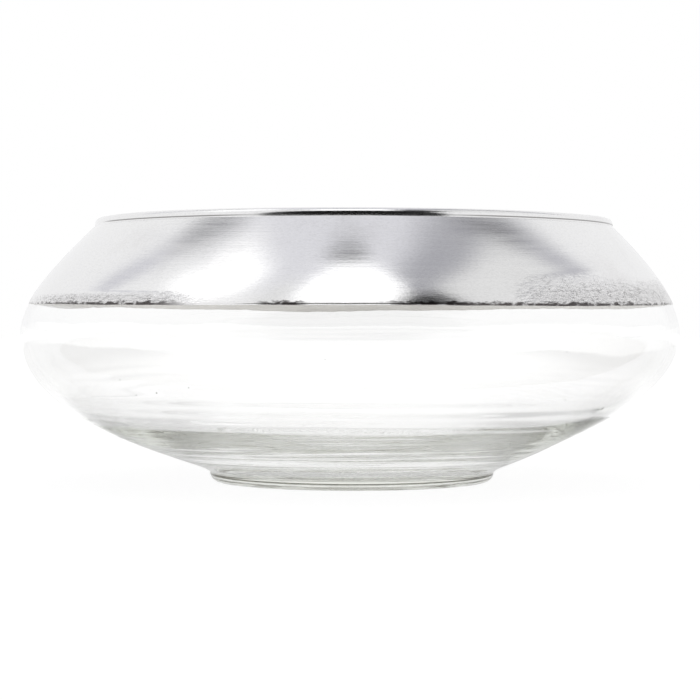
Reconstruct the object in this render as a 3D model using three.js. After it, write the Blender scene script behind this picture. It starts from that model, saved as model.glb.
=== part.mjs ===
// A squat bowl of mouth-blown clear glass on a low foot, with a silver overlay on its shoulder.
// Millimetres, +Z up. The bowl stands on z = 0 and the origin is under the middle of the belly.
// Every outline is drawn as x = distance from the axis, y = height, and is then turned.
import * as THREE from 'three';

// Facets round the bowl, and steps along each stretch of the outline
const SEGMENTS = 60;
const COVE_STEPS = 3;
const UNDERBELLY_STEPS = 11;
const BELLY_STEPS = 4;
const SHOULDER_STEPS = 8;
const LIP_STEPS = 8;
const FLOOR_STEPS = 4;
const FOOT_EDGE_STEPS = 4;
const DISH_STEPS = 5;

// Halvings that find a height on a curve, to far less than a thousandth of a millimetre
const HALVINGS = 40;

// Foot: a pad of glass fused under the body, with a ground resting ring round a polished dish
const FOOT_HEIGHT = 5.5;
const REST_RADIUS = 56.8;
const REST_WIDTH = 9;
const DISH_DEPTH = 1;
const FOOT_EDGE_ROUND = 4;
const FOOT_EDGE_TURN = 88;

// Cove: the hollow curve from the foot's edge out to the underside of the belly
const COVE_WIDTH = 7.2;
const COVE_RISE = 2.3;

// Body: heights are taken from the joint with the foot, slopes in degrees from the level
const UNDERBELLY_SLOPE = 19.6;
const UNDERBELLY_PULL = 51.3;
const BELLY_RADIUS = 140;
const BELLY_RISE = 57.9;
const BELLY_PULL_DOWN = 21.5;
const BELLY_PULL_UP = 12.8;
const MOUTH_RADIUS = 109.8;
const MOUTH_RISE = 102.9;
const SHOULDER_SLOPE = 44;
const SHOULDER_PULL = 23.3;

// Walls, measured square to the outside. The heel is the thick wall round the foot: it keeps its
// thickness out to one radius and has thinned to the wall of the belly at the other.
const FLOOR_WALL = 4.7;
const HEEL_WALL = 5.5;
const HEEL_RADIUS = 76;
const HEEL_REACH = 114;
const BELLY_WALL = 3.4;
const MOUTH_WALL = 2.6;

// Lip: a short fire-polished collar over the crease at the mouth, an upright oval in section
const LIP_HALF_WIDTH = 1.6;
const LIP_HALF_HEIGHT = 2.1;
const LIP_CREASE_TURN = 18;
const LIP_INSIDE_TURN = 205;

// Silver overlay: from its lower edge on the shoulder, over the lip and a little way down inside
const SILVER_THICKNESS = 0.4;
const SILVER_EDGE_RISE = 11.7;

// Drift of the axis to one side, as free-blown glass has it
const FOOT_DRIFT = 0.9;
const UNDERBELLY_DRIFT = -2.4;
const UNDERBELLY_DRIFT_RISE = 15;
const MOUTH_DRIFT = 1.6;

const radians = THREE.MathUtils.degToRad;
const point = (x, y) => new THREE.Vector2(x, y);
const heading = (degrees) => point(Math.cos(radians(degrees)), Math.sin(radians(degrees)));
const along = (from, direction, length) => from.clone().addScaledVector(direction, length);

// Where two straight lines cross, each given by a point and a direction
function crossing(a, directionA, b, directionB) {
  const reach = b.clone().sub(a).cross(directionB) / directionA.cross(directionB);
  return along(a, directionA, reach);
}

// The share t of a rising curve at which it reaches a height
function shareAtHeight(curve, height) {
  let low = 0;
  let high = 1;
  for (let halving = 0; halving < HALVINGS; halving += 1) {
    const middle = (low + high) / 2;
    if (curve.getPoint(middle).y < height) {
      low = middle;
    } else {
      high = middle;
    }
  }
  return (low + high) / 2;
}

// Wall of the underbelly at a distance from the axis: the heel, thinning to the wall of the belly
function heelWall(distance) {
  const thinned = THREE.MathUtils.smoothstep(distance, HEEL_RADIUS, HEEL_REACH);
  return THREE.MathUtils.lerp(HEEL_WALL, BELLY_WALL, thinned);
}

const shoulderWall = (t) => THREE.MathUtils.lerp(BELLY_WALL, MOUTH_WALL, t);
const noWall = () => 0;

// Stations along a curve from one share to another: a place, the way out of the glass, the wall
function stations(curve, from, to, steps, wallAt) {
  return Array.from({ length: steps + 1 }, (_, i) => {
    const t = THREE.MathUtils.lerp(from, to, i / steps);
    const place = curve.getPoint(t);
    const tangent = curve.getTangent(t);
    return { place, outward: point(tangent.y, -tangent.x), wall: wallAt(t, place.x) };
  });
}

const places = (list) => list.map((station) => station.place);
const insides = (list) => list.map((s) => along(s.place, s.outward, -s.wall)).reverse();
const lifted = (list, height) => list.map((s) => along(s.place, s.outward, height));

// Sideways drift of the axis at a height, eased from one named height to the next
function driftAt(height) {
  const drifts = [
    [FOOT_HEIGHT, FOOT_DRIFT],
    [FOOT_HEIGHT + UNDERBELLY_DRIFT_RISE, UNDERBELLY_DRIFT],
    [FOOT_HEIGHT + BELLY_RISE, 0],
    [FOOT_HEIGHT + MOUTH_RISE, MOUTH_DRIFT],
  ];
  return drifts.slice(1).reduce((drift, [top, value], i) => {
    const [bottom, before] = drifts[i];
    return drift + (value - before) * THREE.MathUtils.smoothstep(height, bottom, top);
  }, FOOT_DRIFT);
}

// Turns an outline round the axis, stands it up along +Z and gives it the drift
function turned(name, outline, material) {
  const geometry = new THREE.LatheGeometry(outline, SEGMENTS);
  geometry.rotateX(Math.PI / 2);
  const position = geometry.attributes.position;
  for (let i = 0; i < position.count; i += 1) {
    position.setX(i, position.getX(i) + driftAt(position.getZ(i)));
  }
  const mesh = new THREE.Mesh(geometry, material);
  mesh.name = name;
  return mesh;
}

// The outside of the glass, from the foot's edge to the mouth
const footEdgeCentre = point(REST_RADIUS, FOOT_EDGE_ROUND);
const footEdgeTop = along(footEdgeCentre, heading(FOOT_EDGE_TURN - 90), FOOT_EDGE_ROUND);
const coveTop = point(footEdgeTop.x + COVE_WIDTH, FOOT_HEIGHT + COVE_RISE);
const belly = point(BELLY_RADIUS, FOOT_HEIGHT + BELLY_RISE);
const mouth = point(MOUTH_RADIUS, FOOT_HEIGHT + MOUTH_RISE);
const underbellyWay = heading(UNDERBELLY_SLOPE);

const cove = new THREE.QuadraticBezierCurve(
  footEdgeTop,
  crossing(footEdgeTop, heading(FOOT_EDGE_TURN), coveTop, underbellyWay),
  coveTop,
);
const underbelly = new THREE.CubicBezierCurve(
  coveTop,
  along(coveTop, underbellyWay, UNDERBELLY_PULL),
  along(belly, heading(-90), BELLY_PULL_DOWN),
  belly,
);
const shoulder = new THREE.CubicBezierCurve(
  belly,
  along(belly, heading(90), BELLY_PULL_UP),
  along(mouth, heading(-SHOULDER_SLOPE), SHOULDER_PULL),
  mouth,
);

const jointShare = shareAtHeight(cove, FOOT_HEIGHT);
const silverShare = shareAtHeight(shoulder, belly.y + SILVER_EDGE_RISE);

// From the middle of the lip's oval to the place where the oval faces a given way
function lipReach(outward) {
  const axes = point(LIP_HALF_WIDTH, LIP_HALF_HEIGHT);
  const spread = outward.clone().multiply(axes);
  return spread.clone().multiply(axes).divideScalar(spread.length());
}

// The lip, round its outside, top and inside
function lipStations() {
  const centre = mouth.clone().sub(lipReach(heading(-LIP_CREASE_TURN)));
  return Array.from({ length: LIP_STEPS + 1 }, (_, i) => {
    const turn = THREE.MathUtils.lerp(-LIP_CREASE_TURN, LIP_INSIDE_TURN, i / LIP_STEPS);
    const outward = heading(turn);
    return { place: lipReach(outward).add(centre), outward };
  });
}

const underbellyStations = stations(
  underbelly, 0, 1, UNDERBELLY_STEPS, (t, distance) => heelWall(distance),
);
const bellyStations = stations(shoulder, 0, silverShare, BELLY_STEPS, shoulderWall);
const shoulderStations = stations(shoulder, silverShare, 1, SHOULDER_STEPS, shoulderWall);
const lip = lipStations();

// Level floor inside, blended into the inside of the underbelly
function floorOutline() {
  const level = FOOT_HEIGHT + FLOOR_WALL;
  const [start] = insides(underbellyStations.slice(0, 1));
  const corner = crossing(start, underbellyWay, point(0, level), point(1, 0));
  const end = point(corner.x - start.distanceTo(corner), level);
  return new THREE.QuadraticBezierCurve(start, corner, end).getPoints(FLOOR_STEPS);
}

function glassBody(material) {
  const outline = [
    point(0, FOOT_HEIGHT),
    ...places(stations(cove, jointShare, 1, COVE_STEPS, noWall)),
    ...places(underbellyStations).slice(1),
    ...places(bellyStations).slice(1),
    ...places(shoulderStations).slice(1),
    ...places(lip).slice(1),
    ...insides(shoulderStations).slice(1),
    ...insides(bellyStations).slice(1),
    ...insides(underbellyStations).slice(1),
    ...floorOutline().slice(1),
    point(0, FOOT_HEIGHT + FLOOR_WALL),
  ];
  return turned('glass_body', outline, material);
}

// The dish under the foot is a shallow cap of a sphere inside the resting ring
function footDish() {
  const width = REST_RADIUS - REST_WIDTH;
  const sphere = (width ** 2 + DISH_DEPTH ** 2) / (2 * DISH_DEPTH);
  return Array.from({ length: DISH_STEPS + 1 }, (_, i) => {
    const out = (width * i) / DISH_STEPS;
    return point(out, Math.sqrt(sphere ** 2 - out ** 2) - (sphere - DISH_DEPTH));
  });
}

function glassFoot(material) {
  const edge = Array.from({ length: FOOT_EDGE_STEPS + 1 }, (_, i) =>
    along(footEdgeCentre, heading((FOOT_EDGE_TURN * i) / FOOT_EDGE_STEPS - 90), FOOT_EDGE_ROUND));
  const outline = [
    ...footDish(),
    ...edge,
    ...places(stations(cove, 0, jointShare, COVE_STEPS, noWall)).slice(1),
    point(0, FOOT_HEIGHT),
  ];
  return turned('glass_foot', outline, material);
}

// The silver lies on the same stations as the glass, so the two meet face to face
function silverBand(material) {
  const covered = [...shoulderStations, ...lip.slice(1)];
  const outline = [
    ...lifted(covered, SILVER_THICKNESS),
    ...places(covered).reverse(),
  ];
  outline.push(outline[0].clone());
  return turned('silver_band', outline, material);
}

const clearGlass = new THREE.MeshStandardMaterial({
  name: 'clear_glass', color: 0xe9efec, roughness: 0.03, metalness: 0, transparent: true, opacity: 0.35,
});
const footGlass = clearGlass.clone();
footGlass.name = 'foot_glass';
const silver = new THREE.MeshStandardMaterial({
  name: 'polished_silver', color: 0xd9d8d6, roughness: 0.18, metalness: 1,
});

const bowl = new THREE.Group();
bowl.name = 'glass_bowl';
bowl.add(glassBody(clearGlass), glassFoot(footGlass), silverBand(silver));

export default bowl;
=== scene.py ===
"""A squat bowl of mouth-blown clear glass on a low foot, with a polished silver overlay.

Metres, +Z up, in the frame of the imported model. The glass is one turned mesh, from the dish under
the foot up the outside, over the lip and down the inside. The silver follows the same outline.
"""
import math
import random

import bmesh
import bpy
import numpy as np
from mathutils import Matrix, Vector, noise


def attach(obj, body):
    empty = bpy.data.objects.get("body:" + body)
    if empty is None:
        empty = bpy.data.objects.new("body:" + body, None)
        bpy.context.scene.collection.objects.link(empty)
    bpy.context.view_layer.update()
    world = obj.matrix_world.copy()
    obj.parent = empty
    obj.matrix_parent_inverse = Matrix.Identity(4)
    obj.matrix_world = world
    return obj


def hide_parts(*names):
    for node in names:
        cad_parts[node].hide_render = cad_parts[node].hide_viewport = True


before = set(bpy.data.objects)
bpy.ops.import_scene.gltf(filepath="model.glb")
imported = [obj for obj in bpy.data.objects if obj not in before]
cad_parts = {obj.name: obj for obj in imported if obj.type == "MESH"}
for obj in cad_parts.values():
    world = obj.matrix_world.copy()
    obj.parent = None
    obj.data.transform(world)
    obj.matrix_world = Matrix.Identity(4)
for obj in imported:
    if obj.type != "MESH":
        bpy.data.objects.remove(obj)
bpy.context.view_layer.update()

bl_info = {
    "name": "Silver-banded Glass Bowl",
    "version": (1, 0, 0),
    "blender": (4, 5, 0),
    "location": "View3D > Sidebar > Glass Bowl",
    "description": "Blows a footed glass bowl, lays the silver on its shoulder and lights it",
    "category": "Add Mesh",
}

MILLIMETRE = 0.001

# How finely the two meshes are divided round the bowl, and the seed of the random draws
GLASS_FACETS = 200
SILVER_FACETS = 616
SEED_DRAWS = 7

# How often light may be bent or thrown back inside the thick glass
LIGHT_STEPS = 64


# Properties that a user would change

def length(name, description, millimetres):
    """A length property, given in millimetres and kept in metres."""
    return bpy.props.FloatProperty(
        name=name,
        description=description,
        default=millimetres * MILLIMETRE,
        precision=4,
        subtype="DISTANCE",
        unit="LENGTH",
    )


def angle(name, description, degrees):
    """An angle property, given in degrees and kept in radians."""
    return bpy.props.FloatProperty(
        name=name,
        description=description,
        default=math.radians(degrees),
        subtype="ANGLE",
        unit="ROTATION",
    )


def colour(name, description, red, green, blue):
    """A colour property."""
    return bpy.props.FloatVectorProperty(
        name=name,
        description=description,
        default=(red, green, blue),
        size=3,
        min=0,
        soft_max=1,
        subtype="COLOR",
    )


def amount(name, description, value):
    """A plain number without a unit."""
    return bpy.props.FloatProperty(name=name, description=description, default=value, precision=3)


class BowlSizes(bpy.types.PropertyGroup):
    """Sizes of the glass and the silver, the same as the solids have."""

    foot_height: length("Foot height", "Height of the fused joint over the table", 5.5)
    rest_radius: length("Resting radius", "Outside of the flat resting ring", 56.8)
    rest_width: length("Resting width", "Width of the flat resting ring", 9)
    dish_depth: length("Dish depth", "Depth of the polished dish under the foot", 1)
    foot_round: length("Foot edge round", "Rounding of the foot's edge", 4)
    foot_turn: angle("Foot edge turn", "How far the rounding of the foot's edge turns", 88)
    cove_width: length("Cove width", "From the foot's edge out to the underbelly", 7.2)
    cove_rise: length("Cove rise", "Top of the cove over the fused joint", 2.3)
    underbelly_slope: angle("Underbelly slope", "Slope where the underbelly starts", 19.6)
    underbelly_pull: length("Underbelly pull", "How long the underbelly stays straight", 51.3)
    belly_radius: length("Belly radius", "Widest radius of the bowl", 140)
    belly_rise: length("Belly rise", "Widest line over the fused joint", 57.9)
    belly_pull_down: length("Belly pull down", "Fullness under the widest line", 21.5)
    belly_pull_up: length("Belly pull up", "Fullness over the widest line", 12.8)
    mouth_radius: length("Mouth radius", "Radius where the shoulder meets the lip", 109.8)
    mouth_rise: length("Mouth rise", "Mouth over the fused joint", 102.9)
    shoulder_slope: angle("Shoulder slope", "Slope of the shoulder at the mouth", 44)
    shoulder_pull: length("Shoulder pull", "How long the shoulder stays straight", 23.3)
    floor_wall: length("Floor wall", "Glass between the joint and the floor inside", 4.7)
    heel_wall: length("Heel wall", "Thick wall round the foot", 5.5)
    heel_radius: length("Heel radius", "How far out the wall keeps that thickness", 76)
    heel_reach: length("Heel reach", "Radius from which the wall thickens", 114)
    belly_wall: length("Belly wall", "Wall at the widest line", 3.4)
    mouth_wall: length("Mouth wall", "Wall under the lip", 2.6)
    lip_half_width: length("Lip half width", "Half the thickness of the lip's oval", 1.6)
    lip_half_height: length("Lip half height", "Half the height of the lip's oval", 2.1)
    lip_crease: length("Lip crease", "Length of shoulder and lip that the crease rounds off", 0.35)
    silver_thickness: length("Silver thickness", "Thickness of the overlay", 0.4)
    silver_edge_rise: length("Silver edge rise", "Edge of the silver over the widest line", 11.7)
    silver_edge_round: length("Silver edge round", "Over which the edge of the silver rounds off", 0.45)
    silver_edge_saddle: length("Silver edge saddle", "How much higher that edge is at the sides", 0.65)
    silver_edge_wave: length("Silver edge wave", "How far the edge of the silver wanders", 0.15)
    foot_drift: length("Foot drift", "Sideways shift of the foot", 0.9)
    underbelly_drift: length("Underbelly drift", "Sideways shift of the underbelly", -2.4)
    underbelly_drift_rise: length("Underbelly drift rise", "Where that shift is greatest", 15)
    mouth_drift: length("Mouth drift", "Sideways shift of the mouth", 1.6)
    ripple_height: length("Ripple height", "Height of the turning ripples", 0.17)
    waviness: length("Waviness", "How far the glass wanders from a true form", 0.12)


class BowlFinish(bpy.types.PropertyGroup):
    """Colours and surface qualities of the glass and the silver."""

    glass_tint: colour("Glass tint", "Colour that thick glass takes", 0.82, 0.85, 0.76)
    glass_depth: amount("Glass depth", "How soon the tint shows, per metre", 4.4)
    glass_index: amount("Glass index", "Refractive index of the glass", 1.5)
    silver_colour: colour("Silver colour", "Polished silver", 0.90, 0.898, 0.898)
    silver_dulled: colour("Dulled silver", "Silver where it is a little tarnished", 0.76, 0.745, 0.745)
    # Painted shade: near-black laid into the crinkles' creases, along the silver's lower edge and into
    # the lip's crease
    silver_painted_shade: colour("Tarnish", "Tarnish in the creases of the silver", 0.06, 0.05, 0.05)
    silver_back: colour("Silver back", "Silver as seen through the glass", 0.98, 0.955, 0.92)
    silver_roughness: amount("Silver roughness", "Roughness of the polished silver", 0.18)


class StudioLook(bpy.types.PropertyGroup):
    """The camera and the room that the bowl reflects."""

    camera_distance: length("Camera distance", "From the bowl's axis to the camera", 924.4)
    camera_height: length("Camera height", "Height of the camera over the table", 68.87)
    camera_lens: amount("Lens", "Focal length in millimetres on a 36 mm sensor", 110.66)
    camera_pitch: angle("Camera pitch", "How far the camera looks down", 0.79)
    camera_roll: angle("Camera roll", "How far the camera leans to its left", 0.1)
    backdrop: colour("Backdrop", "White backdrop and table", 1.0, 1.0, 1.0)
    surroundings: colour("Surroundings", "Beside the backdrop, in the glass", 0.93, 0.93, 0.94)
    walls: colour("Walls", "Pale walls that the metal shows", 0.93, 0.93, 0.935)
    ceiling: colour("Ceiling", "Ceiling over the bowl", 0.77, 0.77, 0.81)
    table_colour: colour("Table colour", "Matt white of the table", 0.45, 0.45, 0.45)
    table_shade: colour("Table shade", "How much of the shadow the camera sees", 0.1, 0.1, 0.1)
    table_light: amount("Table light", "Light on the table that the glass and metal show", 0.62)
    table_falloff: amount("Table falloff", "How much less of that light lies to the sides", 0.16)
    table_pool: length("Table pool", "How far to each side the full light reaches", 120)
    shadow_depth: amount("Shadow depth", "How much less of it lies under the belly", 0.30)
    shadow_reach: length("Shadow reach", "How far out that shadow reaches", 146)
    table_glow: amount("Table glow", "Light that the white table seems to give back", 0.93)


# Helpers for outlines: arrays of (distance from the axis, height)

def heading(radians):
    """Unit vector at an angle from level."""
    return np.array([math.cos(radians), math.sin(radians)])


def crossing(a, way_a, b, way_b):
    """Where two straight lines cross, each given by a point and a direction."""
    across = way_a[0] * way_b[1] - way_a[1] * way_b[0]
    gap = b - a
    return a + way_a * (gap[0] * way_b[1] - gap[1] * way_b[0]) / across


def bezier(points, share):
    """Places on a Bezier curve and the way out of the glass there, for an array of shares."""
    share = np.asarray(share, float)[..., None]
    rows = [np.asarray(point, float) for point in points]
    while len(rows) > 2:
        rows = [a + (b - a) * share for a, b in zip(rows, rows[1:])]
    way = rows[1] - rows[0]
    way = way / np.linalg.norm(way, axis=-1, keepdims=True)
    place = rows[0] + (rows[1] - rows[0]) * share
    return place, np.stack([way[..., 1], -way[..., 0]], axis=-1)


def smoothstep(value, low, high):
    """Eases from 0 at low to 1 at high."""
    share = np.clip((value - low) / (high - low), 0, 1)
    return share * share * (3 - 2 * share)


# Angles round the lip, from the crease outside to its end inside the mouth
LIP_CREASE_TURN = math.radians(-18)
LIP_INSIDE_TURN = math.radians(205)

# Shares of the shoulder among which a height is found
SHOULDER_SAMPLES = 4001


class Outline:
    """The curves of the bowl's outside, from the foot's edge to the lip."""

    def __init__(self, sizes):
        self.sizes = sizes
        joint = sizes.foot_height
        self.edge_centre = np.array([sizes.rest_radius, sizes.foot_round])
        edge_top = self.edge_centre + sizes.foot_round * heading(sizes.foot_turn - math.pi / 2)
        cove_top = np.array([edge_top[0] + sizes.cove_width, joint + sizes.cove_rise])
        belly = np.array([sizes.belly_radius, joint + sizes.belly_rise])
        mouth = np.array([sizes.mouth_radius, joint + sizes.mouth_rise])
        self.slope = heading(sizes.underbelly_slope)
        cove_corner = crossing(edge_top, heading(sizes.foot_turn), cove_top, self.slope)
        self.belly = belly
        self.mouth = mouth
        self.cove = [edge_top, cove_corner, cove_top]
        self.underbelly = [
            cove_top,
            cove_top + self.slope * sizes.underbelly_pull,
            belly - [0, sizes.belly_pull_down],
            belly,
        ]
        self.shoulder = [
            belly,
            belly + [0, sizes.belly_pull_up],
            mouth + heading(-sizes.shoulder_slope) * sizes.shoulder_pull,
            mouth,
        ]

    def wall(self, place):
        """Wall under the belly: thin out to the heel's reach, and thick round the foot."""
        sizes = self.sizes
        thin = smoothstep(place[..., 0], sizes.heel_radius, sizes.heel_reach)
        return sizes.heel_wall + (sizes.belly_wall - sizes.heel_wall) * thin

    def share_at_height(self, height):
        """The share along the shoulder at which it reaches a height."""
        shares = np.linspace(0, 1, SHOULDER_SAMPLES)
        return float(np.interp(height, bezier(self.shoulder, shares)[0][:, 1], shares))

    def drift(self, height):
        """Sideways shift of the axis at a height, eased from one named height to the next."""
        sizes = self.sizes
        joint = sizes.foot_height
        stops = [
            (joint, sizes.foot_drift),
            (joint + sizes.underbelly_drift_rise, sizes.underbelly_drift),
            (joint + sizes.belly_rise, 0.0),
            (joint + sizes.mouth_rise, sizes.mouth_drift),
        ]
        shift = np.full_like(height, sizes.foot_drift)
        for (low, before), (high, after) in zip(stops, stops[1:]):
            shift = shift + (after - before) * smoothstep(height, low, high)
        return shift

    def crease_shares(self):
        """Where the crease starts on the shoulder, and the turn over which it ends on the lip."""
        sizes = self.sizes
        per_share = 3 * np.linalg.norm(self.shoulder[3] - self.shoulder[2])
        _, spread = self.lip_reach(heading(LIP_CREASE_TURN))
        radius = (sizes.lip_half_width * sizes.lip_half_height) ** 2 / spread[..., 0] ** 3
        return 1 - sizes.lip_crease / per_share, sizes.lip_crease / float(radius)

    def crease(self, steps):
        """The rounded crease between the shoulder and the lip."""
        share, turn = self.crease_shares()
        start, _ = bezier(self.shoulder, share)
        end, _ = self.lip(LIP_CREASE_TURN + turn)
        return bezier([start, self.mouth, end], np.linspace(0, 1, steps))

    def lip_reach(self, outward):
        """From the middle of the lip's oval to where it faces a way, and the spread of that way."""
        axes = np.array([self.sizes.lip_half_width, self.sizes.lip_half_height])
        spread = np.linalg.norm(outward * axes, axis=-1, keepdims=True)
        return outward * axes ** 2 / spread, spread

    def lip(self, turn):
        """Places and outward directions round the oval of the lip, for angles from level."""
        turn = np.asarray(turn, float)
        outward = np.stack([np.cos(turn), np.sin(turn)], axis=-1)
        centre = self.mouth - self.lip_reach(heading(LIP_CREASE_TURN))[0]
        return centre + self.lip_reach(outward)[0], outward


# Unevenness of hand-blown glass

# Turning ripples outside and inside: how many waves, the shortest and the longest
OUTER_RIPPLES = (6, 0.0042, 0.0105)
INNER_RIPPLES = (5, 0.0055, 0.014)
RIPPLE_TURNS = [-2, -1, 0, 1, 1, 2]
RIPPLE_STRENGTH = (0.5, 1.0)

# Shares of the underbelly over which the ripples come up, and over which they fade out
RIPPLES_START = (0.0, 0.10)
RIPPLES_END = (0.45, 0.75)

# On the floor they come up from the middle to this share of it, and are this much lower
FLOOR_RIPPLES_START = 0.4
FLOOR_RIPPLES = 0.5

# A ripple fades by this much and comes back so often, and the front of the bowl is calmer
FADE_DEPTH = 0.4
FADE_TURNS = 3
CALM_FRONT = 0.5
CALM_SPAN = (-0.5, 0.6)

# Span of the slow waviness, and the height in foot heights at which it is full
WAVE_SPAN = 0.045
WAVE_START = 4


def waves(draws, count, shortest, longest):
    """Seeded waves along the outline: length, turns round the bowl, phase and strength."""
    return [
        (
            draws.uniform(shortest, longest),
            draws.choice(RIPPLE_TURNS),
            draws.uniform(0, math.tau),
            draws.uniform(*RIPPLE_STRENGTH),
        )
        for _ in range(count)
    ]


def swirl(reach, azimuth, family):
    """Turning ripples: rings round the foot that wind a little and come and go, calmer in front."""
    height = np.zeros(np.broadcast(reach, azimuth).shape)
    for wave_length, turns, phase, strength in family:
        drifting = np.sin(FADE_TURNS * azimuth + phase * 2 + reach / (4 * wave_length))
        fade = 1 - FADE_DEPTH + FADE_DEPTH * drifting
        height += strength * fade * np.sin(math.tau * reach / wave_length + turns * azimuth + phase)
    calm = CALM_FRONT + (1 - CALM_FRONT) * smoothstep(np.sin(azimuth), *CALM_SPAN)
    return height * calm / len(family)


def wander(points, scale):
    """Slow random unevenness at each point, between about -1 and 1."""
    flat = points.reshape(-1, 3) / scale
    values = [noise.noise(Vector(point)) for point in flat]
    return np.array(values).reshape(points.shape[:-1])


def turned(place, azimuth):
    """Turns (distance, height) places round the axis."""
    radius, height = place[..., 0], place[..., 1]
    spot = np.broadcast_arrays(radius * np.cos(azimuth), radius * np.sin(azimuth), height)
    return np.stack(spot, axis=-1)


def raised(outline, place, outward, lift, azimuth):
    """Turned places, raised square to the outline by a lift and by the slow waviness, which is gone
    at the foot. The axis drifts to one side."""
    sizes = outline.sizes
    slow = wander(turned(place, azimuth), WAVE_SPAN) * sizes.waviness
    settled = smoothstep(place[..., 1], sizes.foot_height, WAVE_START * sizes.foot_height)
    spots = turned(place + outward * (lift + slow * settled)[..., None], azimuth)
    spots[..., 0] += outline.drift(spots[..., 2])
    return spots


def lathe_mesh(name, rows, poles):
    """Mesh from rows of points. It ends in two poles, or closes on itself where there are none."""
    rings, facets, _ = rows.shape
    mesh = bpy.data.meshes.new(name)
    points = rows.reshape(-1, 3).tolist()
    faces = []
    joined = rings - 1 if poles else rings
    for ring in range(joined):
        low, high = ring * facets, ((ring + 1) % rings) * facets
        for facet in range(facets):
            beside = (facet + 1) % facets
            faces.append((low + facet, low + beside, high + beside, high + facet))
    if poles:
        first, last = len(points), len(points) + 1
        points += [list(pole) for pole in poles]
        top = (rings - 1) * facets
        for facet in range(facets):
            beside = (facet + 1) % facets
            faces.append((first, beside, facet))
            faces.append((last, top + facet, top + beside))
    mesh.from_pydata(points, [], faces)
    mesh.shade_smooth()
    return mesh


def new_piece(name, mesh, nodes):
    """Puts a mesh into the scene as a piece of the bowl that stands for CAD nodes."""
    piece = bpy.data.objects.new(name, mesh)
    bpy.context.scene.collection.objects.link(piece)
    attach(piece, "root")
    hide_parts(*nodes)
    return piece


# Helpers for node trees

def add(tree, kind, inputs=None, **attributes):
    """Adds a node with its attributes. An input is given a value, or linked to a socket."""
    node = tree.nodes.new(kind)
    for name, value in attributes.items():
        setattr(node, name, value)
    for key, value in (inputs or {}).items():
        if isinstance(value, bpy.types.NodeSocket):
            tree.links.new(value, node.inputs[key])
        else:
            node.inputs[key].default_value = value
    return node


def sums(tree, operation, *values):
    """Output of a Math node on values or sockets."""
    return add(tree, "ShaderNodeMath", dict(enumerate(values)), operation=operation).outputs[0]


def product(tree, first, *others):
    """Product of values or sockets."""
    for other in others:
        first = sums(tree, "MULTIPLY", first, other)
    return first


def eased(tree, value, low, high):
    """Eases a value from 0 at low to 1 at high."""
    inputs = {"Value": value, "From Min": low, "From Max": high}
    node = add(tree, "ShaderNodeMapRange", inputs, interpolation_type="SMOOTHSTEP")
    return node.outputs["Result"]


def ranged(tree, value, low, high, to_low, to_high):
    """Takes a value from one range to another in a straight line."""
    inputs = {
        "Value": value,
        "From Min": low,
        "From Max": high,
        "To Min": to_low,
        "To Max": to_high,
    }
    return add(tree, "ShaderNodeMapRange", inputs).outputs["Result"]


def blended(tree, factor, below, above):
    """Colour between two colours."""
    node = add(tree, "ShaderNodeMix", {"Factor": factor}, data_type="RGBA")
    colours = [socket for socket in node.inputs if socket.type == "RGBA"]
    for socket, value in zip(colours, (below, above)):
        if isinstance(value, bpy.types.NodeSocket):
            tree.links.new(value, socket)
        else:
            socket.default_value = value
    return next(socket for socket in node.outputs if socket.type == "RGBA")


def bumped(tree, height, distance, strength=1.0, over=None):
    """Normal of a surface that a height raises, over another normal where one is given."""
    inputs = {"Height": height, "Distance": distance, "Strength": strength}
    if over is not None:
        inputs["Normal"] = over
    return add(tree, "ShaderNodeBump", inputs).outputs["Normal"]


def object_spot(tree):
    """The place on the object, in metres."""
    return add(tree, "ShaderNodeTexCoord").outputs["Object"]


def parts_of(tree, vector):
    """X, Y and Z of a vector."""
    return tuple(add(tree, "ShaderNodeSeparateXYZ", {0: vector}).outputs)


def vector_of(tree, x, y, z=0.0):
    """A vector from its X, Y and Z."""
    return add(tree, "ShaderNodeCombineXYZ", {"X": x, "Y": y, "Z": z}).outputs[0]


def length_of(tree, vector):
    """Length of a vector."""
    return add(tree, "ShaderNodeVectorMath", {0: vector}, operation="LENGTH").outputs["Value"]


NOISE_ROUGHNESS = 0.6


def drawn_out_noise(tree, spot, level, upright, detail=3.0):
    """Noise with one grain along the level and another upright, both in metres."""
    along, up = (sums(tree, "DIVIDE", 1.0, grain) for grain in (level, upright))
    stretch = {0: spot, 1: vector_of(tree, along, along, up)}
    spots = add(tree, "ShaderNodeVectorMath", stretch, operation="MULTIPLY").outputs[0]
    inputs = {"Vector": spots, "Scale": 1.0, "Detail": detail, "Roughness": NOISE_ROUGHNESS}
    return add(tree, "ShaderNodeTexNoise", inputs).outputs["Fac"]


def opaque(rgb):
    """A colour with full alpha."""
    return (*rgb, 1.0)


def new_material(name):
    """An empty node material, its tree and its output node."""
    material = bpy.data.materials.new(name)
    material.use_nodes = True
    tree = material.node_tree
    tree.nodes.clear()
    return material, tree, tree.nodes.new("ShaderNodeOutputMaterial")


def node_group(name, inputs):
    """Turns a function that fills a shader node group into one that builds the group once.

    An input has its default, or None for a vector. The function is given the tree and the sockets
    of the inputs, and returns what goes to each output."""

    def prepared(fill):
        def group():
            if name in bpy.data.node_groups:
                return bpy.data.node_groups[name]
            tree = bpy.data.node_groups.new(name, "ShaderNodeTree")
            for title, default in inputs.items():
                kind = "NodeSocketVector" if default is None else "NodeSocketFloat"
                socket = tree.interface.new_socket(title, in_out="INPUT", socket_type=kind)
                if default is not None:
                    socket.default_value = default
            results = fill(tree, tree.nodes.new("NodeGroupInput").outputs)
            for title in results:
                tree.interface.new_socket(title, in_out="OUTPUT", socket_type="NodeSocketFloat")
            end = tree.nodes.new("NodeGroupOutput")
            for title, value in results.items():
                tree.links.new(value, end.inputs[title])
            return tree

        return group

    return prepared


# Effects that the materials share

BRUSHING_SIZES = {
    "Line pitch": 0.0008,
    "Line length": 0.04,
    "Grain pitch": 0.00045,
    "Grain length": 0.0012,
    "Patch size": 0.03,
}


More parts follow.
